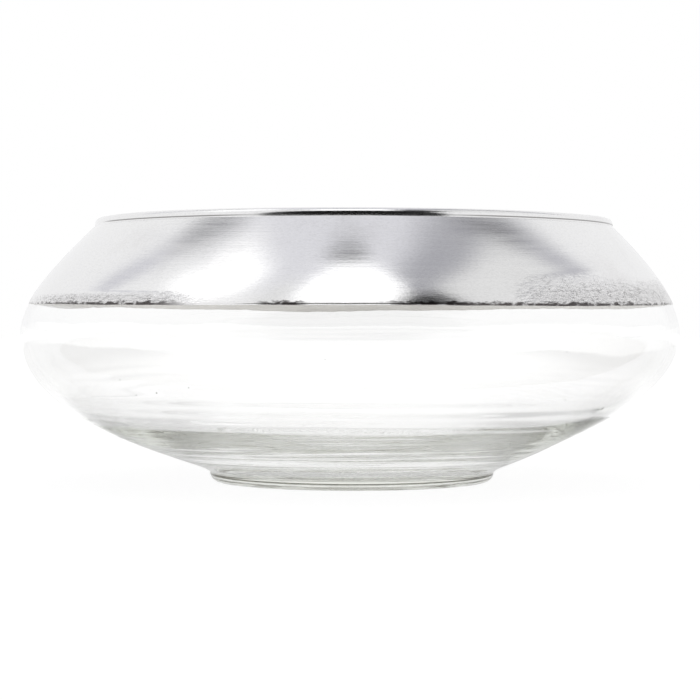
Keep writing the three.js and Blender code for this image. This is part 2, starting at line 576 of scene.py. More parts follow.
@node_group("Level brushing", BRUSHING_SIZES)
def brushing_group(tree, given):
    """Fine level lines left by polishing, a finer grain, and slow patches of duller polish."""
    spot = object_spot(tree)
    lines = drawn_out_noise(tree, spot, given["Line length"], given["Line pitch"])
    grain = drawn_out_noise(tree, spot, given["Grain length"], given["Grain pitch"], detail=1.0)
    patches = drawn_out_noise(tree, spot, given["Patch size"], given["Patch size"], detail=4.0)
    return {"Lines": lines, "Grain": grain, "Patches": patches}


# Crinkled metal at the right and the left. Each pair says where it is gone and where it is full:
# a rise over the edge as a share of its reach, or a place from left to right in metres
CRINKLE_SIZES = {"Edge height": 0.075, "Reach": 0.013, "Grain": 0.0011}
RIGHT_TOP = (1.0, 0.2)
RIGHT_START = (0.055, 0.080)
LEFT_TOP = (0.4, 0.1)
LEFT_START = (-0.05, -0.08)
LEFT_END = (-0.136, -0.112)

# The crumpled noise is drawn out along the level, and its middle makes the painted shade of the
# creases, in clusters
CRUMPLE_STRETCH = 3.2
NOISE_MIDDLE = 0.5
CREASE_WIDTH = (0.05, 0.0)
CLUSTER_SIZE = (0.004, 0.0025)
CREASED_CLUSTERS = (0.46, 0.58)
CREASE_STRENGTH = 0.7

# The painted shade line along the edge: its thickness, how far it swings, the parts of it and its gaps
LINE_TOP = (0.0011, 0.0002)
LINE_SWING = 0.004
LINE_LEFT = (-0.055, -0.075)
LINE_RIGHT = (0.008, 0.022)
LINE_SPOT_AT = -0.025
LINE_SPOT = (0.011, 0.005)
LINE_CLUSTERS = (0.25, 0.50)


@node_group("Edge crinkle", CRINKLE_SIZES)
def crinkle_group(tree, given):
    """Crinkled metal over the lower edge of the silver: high and dense at the right of the bowl,
    low at the left, with painted shade in its creases and a ragged painted shade line along the edge."""
    spot = object_spot(tree)
    across, _, height = parts_of(tree, spot)
    over = sums(tree, "SUBTRACT", height, given["Edge height"])
    share = sums(tree, "DIVIDE", over, given["Reach"])
    right = product(tree, eased(tree, share, *RIGHT_TOP), eased(tree, across, *RIGHT_START))
    left_side = product(tree, eased(tree, across, *LEFT_START), eased(tree, across, *LEFT_END))
    left = product(tree, eased(tree, share, *LEFT_TOP), left_side)
    mask = sums(tree, "MAXIMUM", right, left)

    # The painted crease shade is thin where the crumpled noise crosses its middle, and comes in
    # clusters
    grain = given["Grain"]
    crumple = drawn_out_noise(tree, spot, product(tree, grain, CRUMPLE_STRETCH), grain)
    off_middle = sums(tree, "SUBTRACT", crumple, NOISE_MIDDLE)
    thin = eased(tree, sums(tree, "ABSOLUTE", off_middle), *CREASE_WIDTH)
    clusters = drawn_out_noise(tree, spot, *CLUSTER_SIZE)
    crease_shade = product(tree, thin, eased(tree, clusters, *CREASED_CLUSTERS), mask)

    # The painted shade line runs along the left, a spot left of the middle, and from the front to the
    # right
    ragged = sums(tree, "ADD", over, product(tree, off_middle, LINE_SWING))
    from_spot = sums(tree, "ABSOLUTE", sums(tree, "SUBTRACT", across, LINE_SPOT_AT))
    sides = sums(
        tree, "MAXIMUM", eased(tree, across, *LINE_LEFT), eased(tree, across, *LINE_RIGHT)
    )
    line_shade_parts = sums(tree, "MAXIMUM", sides, eased(tree, from_spot, *LINE_SPOT))
    broken = product(tree, line_shade_parts, eased(tree, clusters, *LINE_CLUSTERS))
    line = product(tree, eased(tree, ragged, *LINE_TOP), broken)
    crease_and_line_shade = sums(tree, "MAXIMUM", product(tree, crease_shade, CREASE_STRENGTH), line)
    return {"Height": product(tree, crumple, mask), "Mask": mask, "Creases": crease_and_line_shade}


TURNING_SIZES = {"Line pitch": 0.0045, "Line length": 0.11, "Top": 0.028, "Fade": 0.010}
TURNING_DETAIL = 1.6

# Heights over the table at which the lines are gone and full
TURNING_FOOT = (0.005, 0.008)


@node_group("Turning lines", TURNING_SIZES)
def turning_lines_group(tree, given):
    """Fine turning lines of blown glass: rings round the foot, that fade out up the belly."""
    x, y, height = parts_of(tree, object_spot(tree))
    rings = vector_of(tree, x, y, length_of(tree, vector_of(tree, x, y)))
    lines = drawn_out_noise(
        tree, rings, given["Line length"], given["Line pitch"], detail=TURNING_DETAIL
    )
    full = sums(tree, "SUBTRACT", given["Top"], given["Fade"])
    fade = eased(tree, height, given["Top"], full)
    mask = product(tree, fade, eased(tree, height, *TURNING_FOOT))
    return {"Height": product(tree, lines, mask)}


# Glass: slow patches of waviness and of faint haze, the depth of its bumps, and the resting ring,
# which is ground and lies below a height
GLASS_PATCH_SIZE = 0.05
WAVINESS_DEPTH = 0.0001
WAVINESS_STRENGTH = 0.5
TURNING_DEPTH = 0.0004
HAZY_PATCHES = (0.45, 0.8)
HAZE_ROUGHNESS = (0.0, 0.015)
GROUND_BELOW = 0.00008
GROUND_ROUGHNESS = 0.5


def glass_material(finish):
    """Clear blown glass: plain refraction, a faint tint with depth, turning lines and very slow
    waviness."""
    material, tree, output = new_material("clear_blown_glass")
    inputs = {"Patch size": GLASS_PATCH_SIZE}
    patches = add(tree, "ShaderNodeGroup", inputs, node_tree=brushing_group()).outputs["Patches"]
    waviness = bumped(tree, patches, WAVINESS_DEPTH, WAVINESS_STRENGTH)
    turning = add(tree, "ShaderNodeGroup", node_tree=turning_lines_group()).outputs["Height"]
    haze = ranged(tree, patches, *HAZY_PATCHES, *HAZE_ROUGHNESS)
    _, _, height = parts_of(tree, object_spot(tree))
    ground = product(tree, sums(tree, "LESS_THAN", height, GROUND_BELOW), GROUND_ROUGHNESS)
    surface = {
        "Base Color": (1, 1, 1, 1),
        "Metallic": 0.0,
        "Roughness": sums(tree, "MAXIMUM", haze, ground),
        "IOR": finish.glass_index,
        "Transmission Weight": 1.0,
        "Normal": bumped(tree, turning, TURNING_DEPTH, over=waviness),
    }
    glass = add(tree, "ShaderNodeBsdfPrincipled", surface)
    tinted = {"Color": opaque(finish.glass_tint), "Density": finish.glass_depth}
    depth = add(tree, "ShaderNodeVolumeAbsorption", tinted)
    tree.links.new(glass.outputs["BSDF"], output.inputs["Surface"])
    tree.links.new(depth.outputs["Volume"], output.inputs["Volume"])
    return material


# Painted shade under the lip: its lowest and highest line over the crease, how near the middle of the
# front and back it is gone and full, the same at the far left, and how dark it is
LIP_SHADE_LOW = 0.00045
LIP_SHADE_HIGH = 0.00095
LIP_SHADE_MIDDLE = (0.0245, 0.056)
LIP_SHADE_LEFT = (-0.103, -0.096)
LIP_SHADE_STRENGTH = 0.7


def lip_crease_shade(tree, sizes):
    """Mask of the painted shade line in the crease where the lip meets the shoulder, outside the mouth.
    """
    x, y, height = parts_of(tree, object_spot(tree))
    radius = length_of(tree, vector_of(tree, x, y))
    inside = sizes.mouth_radius - sizes.lip_half_width
    over = sums(tree, "SUBTRACT", height, sizes.foot_height + sizes.mouth_rise)
    soft = (LIP_SHADE_HIGH - LIP_SHADE_LOW) / 3
    low = eased(tree, over, LIP_SHADE_LOW - soft, LIP_SHADE_LOW + soft)
    high = eased(tree, over, LIP_SHADE_HIGH + soft, LIP_SHADE_HIGH - soft)
    middle = eased(tree, sums(tree, "ABSOLUTE", x), *LIP_SHADE_MIDDLE)
    side = product(tree, middle, eased(tree, x, *LIP_SHADE_LEFT))
    outside = sums(tree, "GREATER_THAN", radius, inside)
    return product(tree, product(tree, low, high), side, outside)


# Silver: how dull its slow patches and its crinkles are, how much darker the specks of its grain
# are, and how dark the painted shade in the creases is
DULL_PATCHES = (0.5, 0.8)
PATCH_DULLNESS = 0.4
CRINKLE_DULLNESS = 0.45
GRAIN_SPECKS = (0.35, 0.8)
SPECK_STRENGTH = 0.15
SPECK_TONE = 0.6
CREASE_DARKNESS = 0.95

# Its roughness: the range of lines and dullness, and how far it lies under and over the finish
ROUGHENED = (0.3, 1.3)
ROUGHNESS_UNDER = 0.05
ROUGHNESS_OVER = 0.12

# Its relief: depth and strength of the brushed lines, how much of it is grain, and the crinkles
BRUSHING_DEPTH = 0.00003
BRUSHING_STRENGTH = 0.7
GRAIN_RELIEF = 0.5
CRINKLE_DEPTH = 0.0019

# How far the brushing draws out its reflections, and their turn round the axis
DRAWN_OUT = 0.4
QUARTER_TURN = 0.25

# The back of the silver
BACK_PATCH_SIZE = 0.015
BACK_PATCH_TONE = 0.86
BACK_METALLIC = 0.9
BACK_ROUGHNESS = 0.28


def shaded(rgb, share):
    """A colour brought down to a share of itself, with full alpha."""
    return opaque([share * part for part in rgb])


def silver_material(finish, sizes):
    """Polished silver with level brushing, dull patches and a crinkled lower edge."""
    material, tree, output = new_material("polished_silver_overlay")
    brushing = add(tree, "ShaderNodeGroup", node_tree=brushing_group()).outputs
    edge = {"Edge height": sizes.foot_height + sizes.belly_rise + sizes.silver_edge_rise}
    crinkle = add(tree, "ShaderNodeGroup", edge, node_tree=crinkle_group()).outputs
    patches = product(tree, eased(tree, brushing["Patches"], *DULL_PATCHES), PATCH_DULLNESS)
    dull = sums(tree, "MAXIMUM", patches, product(tree, crinkle["Mask"], CRINKLE_DULLNESS))
    speck = product(tree, eased(tree, brushing["Grain"], *GRAIN_SPECKS), SPECK_STRENGTH)
    # Painted shade: dark in the crinkles' creases, along the lower edge and in the crease under the lip
    crease_shade = product(tree, crinkle["Creases"], CREASE_DARKNESS)
    lip_shade = product(tree, lip_crease_shade(tree, sizes), LIP_SHADE_STRENGTH)
    dark = sums(tree, "MAXIMUM", crease_shade, lip_shade)
    tone = blended(tree, dull, opaque(finish.silver_colour), opaque(finish.silver_dulled))
    tone = blended(tree, speck, tone, shaded(finish.silver_colour, SPECK_TONE))
    tone = blended(tree, dark, tone, opaque(finish.silver_painted_shade))
    rough = ranged(
        tree,
        sums(tree, "ADD", brushing["Lines"], dull),
        *ROUGHENED,
        finish.silver_roughness - ROUGHNESS_UNDER,
        finish.silver_roughness + ROUGHNESS_OVER,
    )
    fine = sums(tree, "ADD", brushing["Lines"], product(tree, brushing["Grain"], GRAIN_RELIEF))
    lines = bumped(tree, fine, BRUSHING_DEPTH, BRUSHING_STRENGTH)
    level = add(tree, "ShaderNodeTangent", direction_type="RADIAL", axis="Z")
    surface = {
        "Base Color": tone,
        "Metallic": 1.0,
        "Roughness": rough,
        "Anisotropic": DRAWN_OUT,
        "Anisotropic Rotation": QUARTER_TURN,
        "Normal": bumped(tree, crinkle["Height"], CRINKLE_DEPTH, over=lines),
        "Tangent": level.outputs["Tangent"],
    }
    silver = add(tree, "ShaderNodeBsdfPrincipled", surface)
    tree.links.new(silver.outputs["BSDF"], output.inputs["Surface"])
    return material


def silver_back_material(finish):
    """The duller back of the silver, which is seen through the glass."""
    material, tree, output = new_material("silver_back_under_glass")
    inputs = {"Patch size": BACK_PATCH_SIZE}
    patches = add(tree, "ShaderNodeGroup", inputs, node_tree=brushing_group()).outputs["Patches"]
    patch_tone = shaded(finish.silver_back, BACK_PATCH_TONE)
    surface = {
        "Base Color": blended(tree, patches, opaque(finish.silver_back), patch_tone),
        "Metallic": BACK_METALLIC,
        "Roughness": BACK_ROUGHNESS,
    }
    back = add(tree, "ShaderNodeBsdfPrincipled", surface)
    tree.links.new(back.outputs["BSDF"], output.inputs["Surface"])
    return material


# The glass

# Rows along each stretch of the glass, from the dish up the outside and down the inside
DISH_ROWS = 12
RING_SHARES = np.array([0.06, 0.3, 0.6, 0.9, 0.99])
FOOT_EDGE_ROWS = 14
COVE_ROWS = 12
UNDERBELLY_ROWS = 131
SHOULDER_ROWS = 56
CREASE_ROWS = 6
LIP_ROWS = 25
INNER_SHOULDER_ROWS = 46
INNER_UNDERBELLY_ROWS = 111
FLOOR_EDGE_ROWS = 13
FLOOR_ROWS = 24

# Shares of the dish and of the floor at which their rows start and end, and of the shoulder at
# which its inside starts
DISH_SPAN = (0.06, 0.995)
FLOOR_SPAN = (1, 0.03)
INNER_SHOULDER_SPAN = (0.975, 0)


def foot_stretches(outline):
    """Dish, resting ring and rounded edge of the foot: places, ways out of the glass and ripples."""
    sizes = outline.sizes
    width = sizes.rest_radius - sizes.rest_width
    sphere = (width ** 2 + sizes.dish_depth ** 2) / (2 * sizes.dish_depth)
    lean = np.linspace(*DISH_SPAN, DISH_ROWS) * math.asin(width / sphere)
    dish = np.stack([np.sin(lean), np.cos(lean)], axis=-1)
    ring = np.stack([width + sizes.rest_width * RING_SHARES, 0 * RING_SHARES], axis=-1)
    turn = np.linspace(0, 1, FOOT_EDGE_ROWS) * sizes.foot_turn - math.pi / 2
    edge = np.stack([np.cos(turn), np.sin(turn)], axis=-1)
    return [
        (dish * sphere - [0, sphere - sizes.dish_depth], -dish, 0),
        (ring, np.tile([0.0, -1.0], (len(ring), 1)), 0),
        (outline.edge_centre + edge * sizes.foot_round, edge, 0),
    ]


def underbelly_ripple(outline, share, place, azimuth, family):
    """Ripples of the underbelly, which start over the foot and end under the belly."""
    swell = smoothstep(share, *RIPPLES_START) * (1 - smoothstep(share, *RIPPLES_END))
    return swell[:, None] * swirl(place[:, :1], azimuth, family) * outline.sizes.ripple_height


def outer_stretches(outline, azimuth, family):
    """The outside, from the cove to the lip and over it."""
    share = np.linspace(0, 1, UNDERBELLY_ROWS)[1:]
    place, outward = bezier(outline.underbelly, share)
    crease_share, crease_turn = outline.crease_shares()
    lip_turns = np.linspace(LIP_CREASE_TURN + crease_turn, LIP_INSIDE_TURN, LIP_ROWS)[1:]
    return [
        (*bezier(outline.cove, np.linspace(0, 1, COVE_ROWS)[1:]), 0),
        (place, outward, underbelly_ripple(outline, share, place, azimuth, family)),
        (*bezier(outline.shoulder, np.linspace(0, crease_share, SHOULDER_ROWS)[1:]), 0),
        (*outline.crease(CREASE_ROWS), 0),
        (*outline.lip(lip_turns), 0),
    ]


def inner_stretches(outline, azimuth, family):
    """The inside, from the lip down to the middle of the floor."""
    sizes = outline.sizes
    share = np.linspace(*INNER_SHOULDER_SPAN, INNER_SHOULDER_ROWS)
    place, outward = bezier(outline.shoulder, share)
    wall = sizes.belly_wall + (sizes.mouth_wall - sizes.belly_wall) * share
    shoulder = place - outward * wall[:, None], -outward, 0

    share = np.linspace(1, 0, INNER_UNDERBELLY_ROWS)[1:]
    place, outward = bezier(outline.underbelly, share)
    place = place - outward * outline.wall(place)[:, None]
    ripple = underbelly_ripple(outline, share, place, azimuth, family)
    underbelly = place, -outward, ripple

    # The floor is level, and a curve leads onto it
    level = sizes.foot_height + sizes.floor_wall
    start = place[-1]
    corner = crossing(start, outline.slope, np.array([0, level]), np.array([1.0, 0]))
    end = np.array([corner[0] - np.linalg.norm(start - corner), level])
    curve = bezier([start, corner, end], np.linspace(0, 1, FLOOR_EDGE_ROWS)[1:])
    across = np.linspace(*FLOOR_SPAN, FLOOR_ROWS)[1:]
    floor = np.stack([end[0] * across, np.full_like(across, level)], axis=-1)
    fade = smoothstep(across, 0.0, FLOOR_RIPPLES_START)[:, None] * FLOOR_RIPPLES
    ripple = fade * swirl(floor[:, :1], azimuth, family) * sizes.ripple_height
    upward = np.tile([0.0, 1.0], (len(floor), 1))
    return [shoulder, underbelly, (*curve, 0), (floor, upward, ripple)]


def glass_rows(outline, azimuth):
    """Rows of points over the whole surface of the glass, and its two poles."""
    sizes = outline.sizes
    draws = random.Random(SEED_DRAWS)
    outer_ripples = waves(draws, *OUTER_RIPPLES)
    inner_ripples = waves(draws, *INNER_RIPPLES)
    places, outwards, ripples = zip(
        *foot_stretches(outline),
        *outer_stretches(outline, azimuth, outer_ripples),
        *inner_stretches(outline, azimuth, inner_ripples),
    )
    lift = [
        np.broadcast_to(ripple, (len(place), azimuth.size))
        for place, ripple in zip(places, ripples)
    ]
    place, outward = (np.concatenate(part)[:, None, :] for part in (places, outwards))
    rows = raised(outline, place, outward, np.concatenate(lift), azimuth)
    return rows, [(sizes.foot_drift, 0, sizes.dish_depth), rows[-1].mean(axis=0)]


# Seeds in the glass: azimuth in degrees, share along the underbelly, radius in millimetres
SEEDS = [
    (196, 0.93, 0.35),
    (-9, 0.90, 0.40),
    (-16, 0.92, 0.30),
    (236, 0.62, 0.35),
    (231, 0.60, 0.28),
    (243, 0.66, 0.25),
    (312, 0.57, 0.25),
    (95, 0.70, 0.35),
    (40, 0.80, 0.30),
    (150, 0.50, 0.28),
]


def add_seeds(mesh, outline):
    """Tiny bubbles inside the wall. Their faces look into the bubble, out of the glass."""
    grown = bmesh.new()
    grown.from_mesh(mesh)
    for degrees, share, radius in SEEDS:
        place, outward = bezier(outline.underbelly, share)
        middle = turned(place - outward * outline.wall(place) / 2, math.radians(degrees))
        middle[0] += outline.drift(middle[2])
        made = bmesh.ops.create_icosphere(
            grown,
            subdivisions=2,
            radius=radius * MILLIMETRE,
            matrix=Matrix.Translation(middle),
        )
        skin = list({face for vertex in made["verts"] for face in vertex.link_faces})
        bmesh.ops.reverse_faces(grown, faces=skin)
    for face in grown.faces:
        face.smooth = True
    grown.to_mesh(mesh)
    grown.free()


class BOWL_OT_glass(bpy.types.Operator):
    """Blow the glass bowl, with its foot fused on"""

    bl_idname = "bowl.glass"
    bl_label = "Glass bowl"

    def execute(self, context):
        outline = Outline(context.scene.bowl_sizes)
        azimuth = np.arange(GLASS_FACETS) * math.tau / GLASS_FACETS
        mesh = lathe_mesh("bowl_glass", *glass_rows(outline, azimuth))
        add_seeds(mesh, outline)
        mesh.materials.append(glass_material(context.scene.bowl_finish))
        new_piece("bowl_glass", mesh, ("glass_body", "glass_foot"))
        return {"FINISHED"}


# The silver

# Lower edge: how strong its saddle is with two and with four crests round the bowl, its shift, and
# small waves by their crests, phase and height
SADDLE = (1.0, 0.23, -0.3)
EDGE_WAVES = [(3, 0.7, 0.7), (5, 2.0, 0.5), (17, 1.1, 0.3), (41, 0.4, 0.25)]

# Rows over the silver: the shares of its rounded edge, close rows up to a rise, wide rows, the lip
EDGE_ROUND_SHARES = np.array([0, 0.02, 0.07, 0.15, 0.27, 0.42, 0.6, 0.8])
CLOSE_ROWS = 28
CLOSE_RISE = 0.010
WIDE_ROWS = 62
SILVER_LIP_ROWS = 26

# Rise up to which the rows follow the edge, and the rises over which the crumpled relief fades
EDGE_FOLLOWED = 0.012
RELIEF_FADES = (0.004, 0.012)

# Crumpled relief: its height, and the size, shift and strength of its broad and its fine folds
RELIEF_HEIGHT = 0.00010
FOLDS = [(0.0042, 0.0, 1.0), (0.0022, 3.0, 0.6)]

# How crinkled it is all round, and how much more it is at the right and the left
EVEN_CRINKLE = 0.1
SIDE_CRINKLE = 0.9
LEFT_CRINKLE = 0.5
RIGHT_TURN = (0.3, 0.8)
LEFT_TURN = (0.5, 0.9)

# The back keeps one row in so many, and lies a hair under the surface of the glass
BACK_STEP = 4
BACK_DEPTH = 0.00004


def edge_line(sizes, azimuth):
    """How far the lower edge of the silver lies over or under its height: a saddle, low at the
    front and back and high at the sides, with small waves."""
    two, four, shift = SADDLE
    saddle = two * np.cos(2 * azimuth) + four * np.cos(4 * azimuth) + shift
    small = sum(height * np.sin(crests * azimuth + phase) for crests, phase, height in EDGE_WAVES)
    return saddle * sizes.silver_edge_saddle + small * sizes.silver_edge_wave


def crinkle_strength(azimuth):
    """How crinkled the silver is round the bowl: strong at the right, weaker at the left."""
    right = smoothstep(np.cos(azimuth), *RIGHT_TURN)
    left = smoothstep(-np.cos(azimuth), *LEFT_TURN) * LEFT_CRINKLE
    return np.maximum(right, left) * SIDE_CRINKLE + EVEN_CRINKLE


def silver_shoulder(outline, azimuth):
    """Outer face of the silver on the shoulder: places, ways out and lift, and how many rows are
    close. A rounded edge is followed by close rows through the crinkles and then by wide ones."""
    sizes = outline.sizes
    first = outline.share_at_height(outline.belly[1] + sizes.silver_edge_rise)
    crease_share, _ = outline.crease_shares()
    per_metre = first / sizes.silver_edge_rise
    rise = np.concatenate([
        sizes.silver_edge_round * EDGE_ROUND_SHARES,
        np.linspace(sizes.silver_edge_round, CLOSE_RISE, CLOSE_ROWS),
    ])
    share = first + rise * per_metre
    upper = np.linspace(share[-1], crease_share, WIDE_ROWS)[1:]
    share = np.concatenate([share, upper])[:, None]
    near = 1 - smoothstep((share - first) / per_metre, 0.0, EDGE_FOLLOWED)
    share = share + near * edge_line(sizes, azimuth) * per_metre
    place, outward = bezier(outline.shoulder, share)

    # The edge is rounded to the full thickness, and crumpled relief lies along it
    full = np.ones((len(share), 1))
    from_edge = np.clip(rise / sizes.silver_edge_round, 0, 1)
    full[:len(rise), 0] = np.sqrt(1 - (1 - from_edge) ** 2)
    crinkled = 1 - smoothstep((share - first) / per_metre, *RELIEF_FADES)
    spots = turned(place, azimuth) * [1, 1, CRUMPLE_STRETCH]
    crumple = sum(strength * wander(spots + shift, size) for size, shift, strength in FOLDS)
    relief = crumple * crinkled * crinkle_strength(azimuth) * RELIEF_HEIGHT
    return place, outward, full * (sizes.silver_thickness + relief), len(rise)


def silver_rows(outline, azimuth):
    """Rows over the outer face of the silver and then its back, and how many the face has."""
    thickness = outline.sizes.silver_thickness
    facets = azimuth.size
    place, outward, lift, close = silver_shoulder(outline, azimuth)

    # Over the crease and the lip
    _, crease_turn = outline.crease_shares()
    lip_turns = np.linspace(LIP_CREASE_TURN + crease_turn, LIP_INSIDE_TURN, SILVER_LIP_ROWS)[1:]
    over, over_outward = (
        np.repeat(np.concatenate(pair)[:, None, :], facets, axis=1)
        for pair in zip(outline.crease(CREASE_ROWS), outline.lip(lip_turns))
    )
    place = np.concatenate([place, over])
    outward = np.concatenate([outward, over_outward])
    lift = np.concatenate([lift, np.full(over.shape[:2], thickness)])

    # Back: some of the same rows, under the surface of the glass
    count = len(place)
    keep = {*range(0, close, BACK_STEP), *range(close, count, BACK_STEP), count - 1}
    keep = sorted(keep, reverse=True)
    place = np.concatenate([place, place[keep]])
    outward = np.concatenate([outward, outward[keep]])
    lift = np.concatenate([lift, np.full((len(keep), facets), -BACK_DEPTH)])
    return raised(outline, place, outward, lift, azimuth), count


class BOWL_OT_silver(bpy.types.Operator):
    """Lay the silver over the shoulder and the lip"""

    bl_idname = "bowl.silver"
    bl_label = "Silver overlay"

    def execute(self, context):
        sizes, finish = context.scene.bowl_sizes, context.scene.bowl_finish
        azimuth = np.arange(SILVER_FACETS) * math.tau / SILVER_FACETS
        rows, front_rows = silver_rows(Outline(sizes), azimuth)
        mesh = lathe_mesh("silver_overlay", rows, None)
        mesh.materials.append(silver_material(finish, sizes))
        mesh.materials.append(silver_back_material(finish))
        back_from = (front_rows - 1) * SILVER_FACETS
        side = [0 if index < back_from else 1 for index in range(len(mesh.polygons))]
        mesh.polygons.foreach_set("material_index", side)
        new_piece("silver_overlay", mesh, ("silver_band",))
        return {"FINISHED"}


# The studio

PANEL_SIZES = {
    "Direction": None,
    "Azimuth": 0.0,
    "Elevation": 45.0,
    "Half width": 20.0,
    "Half height": 10.0,
    "Softness": 0.2,
}

# A panel's corners are this square: 2 makes an oval and a high number a rectangle
SQUARENESS = 3.0


@node_group("Studio panel", PANEL_SIZES)
def panel_group(tree, given):
    """A soft-edged panel in the room round the bowl, by its azimuth and elevation in degrees."""
    x, y, z = parts_of(tree, given["Direction"])
    azimuth = sums(tree, "DEGREES", sums(tree, "ARCTAN2", x, product(tree, y, -1.0)))
    elevation = sums(tree, "DEGREES", sums(tree, "ARCSINE", z))
    turn = sums(tree, "SUBTRACT", azimuth, given["Azimuth"])
    turn = sums(tree, "WRAP", turn, 180.0, -180.0)
    aside = sums(tree, "DIVIDE", turn, given["Half width"])
    climb = sums(tree, "SUBTRACT", elevation, given["Elevation"])
    climb = sums(tree, "DIVIDE", climb, given["Half height"])
    powers = [
        sums(tree, "POWER", sums(tree, "ABSOLUTE", part), SQUARENESS) for part in (aside, climb)
    ]
    away = sums(tree, "POWER", sums(tree, "ADD", *powers), 1 / SQUARENESS)
    soft = given["Softness"]
    gap = sums(tree, "SUBTRACT", sums(tree, "ADD", 1.0, soft), away)
    share = sums(tree, "DIVIDE", gap, product(tree, soft, 2.0))
    return {"Mask": eased(tree, share, 0.0, 1.0)}


# Panels that the metal shows: azimuth, elevation, half width, half height in degrees, softness
# and brightness
PANELS = {
    "dark right ceiling": (78, 59, 52, 18, 0.25, 0.42),
    "right softbox": (80, 52, 38, 12, 0.28, 0.83),
    "right gap": (121, 59, 6, 9, 0.6, 0.16),
    "right gap tail": (118.5, 43, 5, 10, 0.6, 0.5),
    "left softbox": (-79, 59, 19, 11.5, 0.45, 1.4),
    "left softbox top": (-97, 66, 12, 5, 0.5, 1.25),
    "front softbox": (1, 64, 30, 15.5, 0.15, 1.4),
    "left gap": (-122.5, 58, 5, 8.5, 0.4, 0.2),
    "left gap tail": (-120, 42, 5, 10, 0.6, 0.62),
    "middle gap": (-38, 56, 6, 11, 0.6, 0.8),
    "lamp hood": (-10, 84.5, 42, 3.4, 0.4, 0.11),
    "dark front": (0, 4, 40, 43, 0.08, 0.008),
    "dark front corner": (35, 46, 12.5, 12, 0.4, 0.008),
}

# What the glass shows of the same room
GLASS_PANELS = {
    "lit backdrop": (180, 0, 13, 60, 0.6, 1.0),
    "grey ceiling": (0, 90, 400, 38, 0.3, 0.95),
    "dark front": (0, 20, 30, 27, 0.3, 0.10),
}

# Half-lit paper, which is between these in brightness, is this much bluer than the softboxes
HALF_LIT = (0.1, 0.7)
COOL_PAPER = 1.08

# Height of a direction at which the walls end, and at which it is all ceiling
CEILING_FROM = (0.78, 0.96)

# Light that has been bent or thrown back more often than this is inside the glass
INNER_DEPTH = 2.5


def room(tree, tone, direction, panels):
    """Lays panels over the tone of a room, in the order that they are given."""
    darkest, brightest = HALF_LIT
    for *shape, brightness in panels.values():
        inputs = dict(zip(PANEL_SIZES, (direction, *shape)))
        panel = add(tree, "ShaderNodeGroup", inputs, node_tree=panel_group())
        cool = COOL_PAPER if darkest < brightness < brightest else 1.0
        panel_tone = opaque([brightness, brightness, brightness * cool])
        tone = blended(tree, panel.outputs["Mask"], tone, panel_tone)
    return tone


def studio_world(look):
    """White to the camera, and a plain studio with softboxes to the metal and the glass."""
    world = bpy.data.worlds.new("studio")
    world.use_nodes = True
    tree = world.node_tree
    tree.nodes.clear()
    direction = add(tree, "ShaderNodeTexCoord").outputs["Generated"]
    _, _, height = parts_of(tree, direction)
    upward = eased(tree, height, *CEILING_FROM)
    tone = blended(tree, upward, opaque(look.walls), opaque(look.ceiling))
    metal_room = room(tree, tone, direction, PANELS)
    glass_room = room(tree, opaque(look.surroundings), direction, GLASS_PANELS)
    path = add(tree, "ShaderNodeLightPath").outputs
    within = sums(tree, "GREATER_THAN", path["Ray Depth"], INNER_DEPTH)
    inner = sums(tree, "MAXIMUM", path["Is Transmission Ray"], within)
    tone = blended(tree, inner, metal_room, glass_room)
    shown = add(tree, "ShaderNodeBackground", {"Color": tone, "Strength": 1.0})
    white = add(tree, "ShaderNodeBackground", {"Color": opaque(look.backdrop), "Strength": 1.0})
    plain = sums(tree, "MAXIMUM", path["Is Camera Ray"], path["Is Diffuse Ray"])
    shaders = {0: plain, 1: shown.outputs[0], 2: white.outputs[0]}
    mixed = add(tree, "ShaderNodeMixShader", shaders)
    output = tree.nodes.new("ShaderNodeOutputWorld")
    tree.links.new(mixed.outputs[0], output.inputs["Surface"])
    bpy.context.scene.world = world


# The table's edges to each side, in front and behind, and its top
TABLE_SIDE = 4.0
TABLE_FRONT = -0.56
TABLE_BACK = 7.0
TABLE_LEVEL = -0.0001

# Its light falls off to the sides over these shares of the pool, out to a distance
FALLOFF_SIDE = (1, 2)
FALLOFF_END = (11, 9)

# The shadow under the belly, as shares of its reach: outer end, inner end, and its two sides
SHADOW_OUTER = (1.3, 0.8)
SHADOW_INNER = (0.35, 0.5)
SHADOW_SIDES = (0.3, 0.6)


def table_light(tree, look):
    """Light on the table, which falls off at both sides and under the belly of the bowl."""
    spot = object_spot(tree)
    aside = sums(tree, "ABSOLUTE", parts_of(tree, spot)[0])
    away = length_of(tree, spot)

    def within(value, span, unit):
        low, high = span
        return eased(tree, value, low * unit, high * unit)

    pool, reach = look.table_pool, look.shadow_reach
    beside = product(tree, within(aside, FALLOFF_SIDE, pool), within(away, FALLOFF_END, pool))
    ring = product(tree, within(away, SHADOW_OUTER, reach), within(away, SHADOW_INNER, reach))
    shadow = product(tree, ring, within(aside, SHADOW_SIDES, reach), look.shadow_depth)
    dimmed = sums(tree, "ADD", product(tree, beside, look.table_falloff), shadow)
    return sums(tree, "SUBTRACT", look.table_light, dimmed)


def table_material(look):
    """Matt white. The glass and the metal show it as it is lit, and the camera nearly white."""
    material, tree, output = new_material("white_table")

    def glowing(colour, strength):
        matt = add(tree, "ShaderNodeBsdfDiffuse", {"Color": opaque(colour)})
        light = {"Color": opaque(look.backdrop), "Strength": strength}
        glow = add(tree, "ShaderNodeEmission", light)
        return add(tree, "ShaderNodeAddShader", {0: matt.outputs[0], 1: glow.outputs[0]}).outputs[0]

    lit = glowing(look.table_colour, table_light(tree, look))
    bright = glowing(look.table_shade, look.table_glow)
    to_camera = add(tree, "ShaderNodeLightPath").outputs["Is Camera Ray"]
    both = add(tree, "ShaderNodeMixShader", {0: to_camera, 1: lit, 2: bright})
    tree.links.new(both.outputs[0], output.inputs["Surface"])
    return material


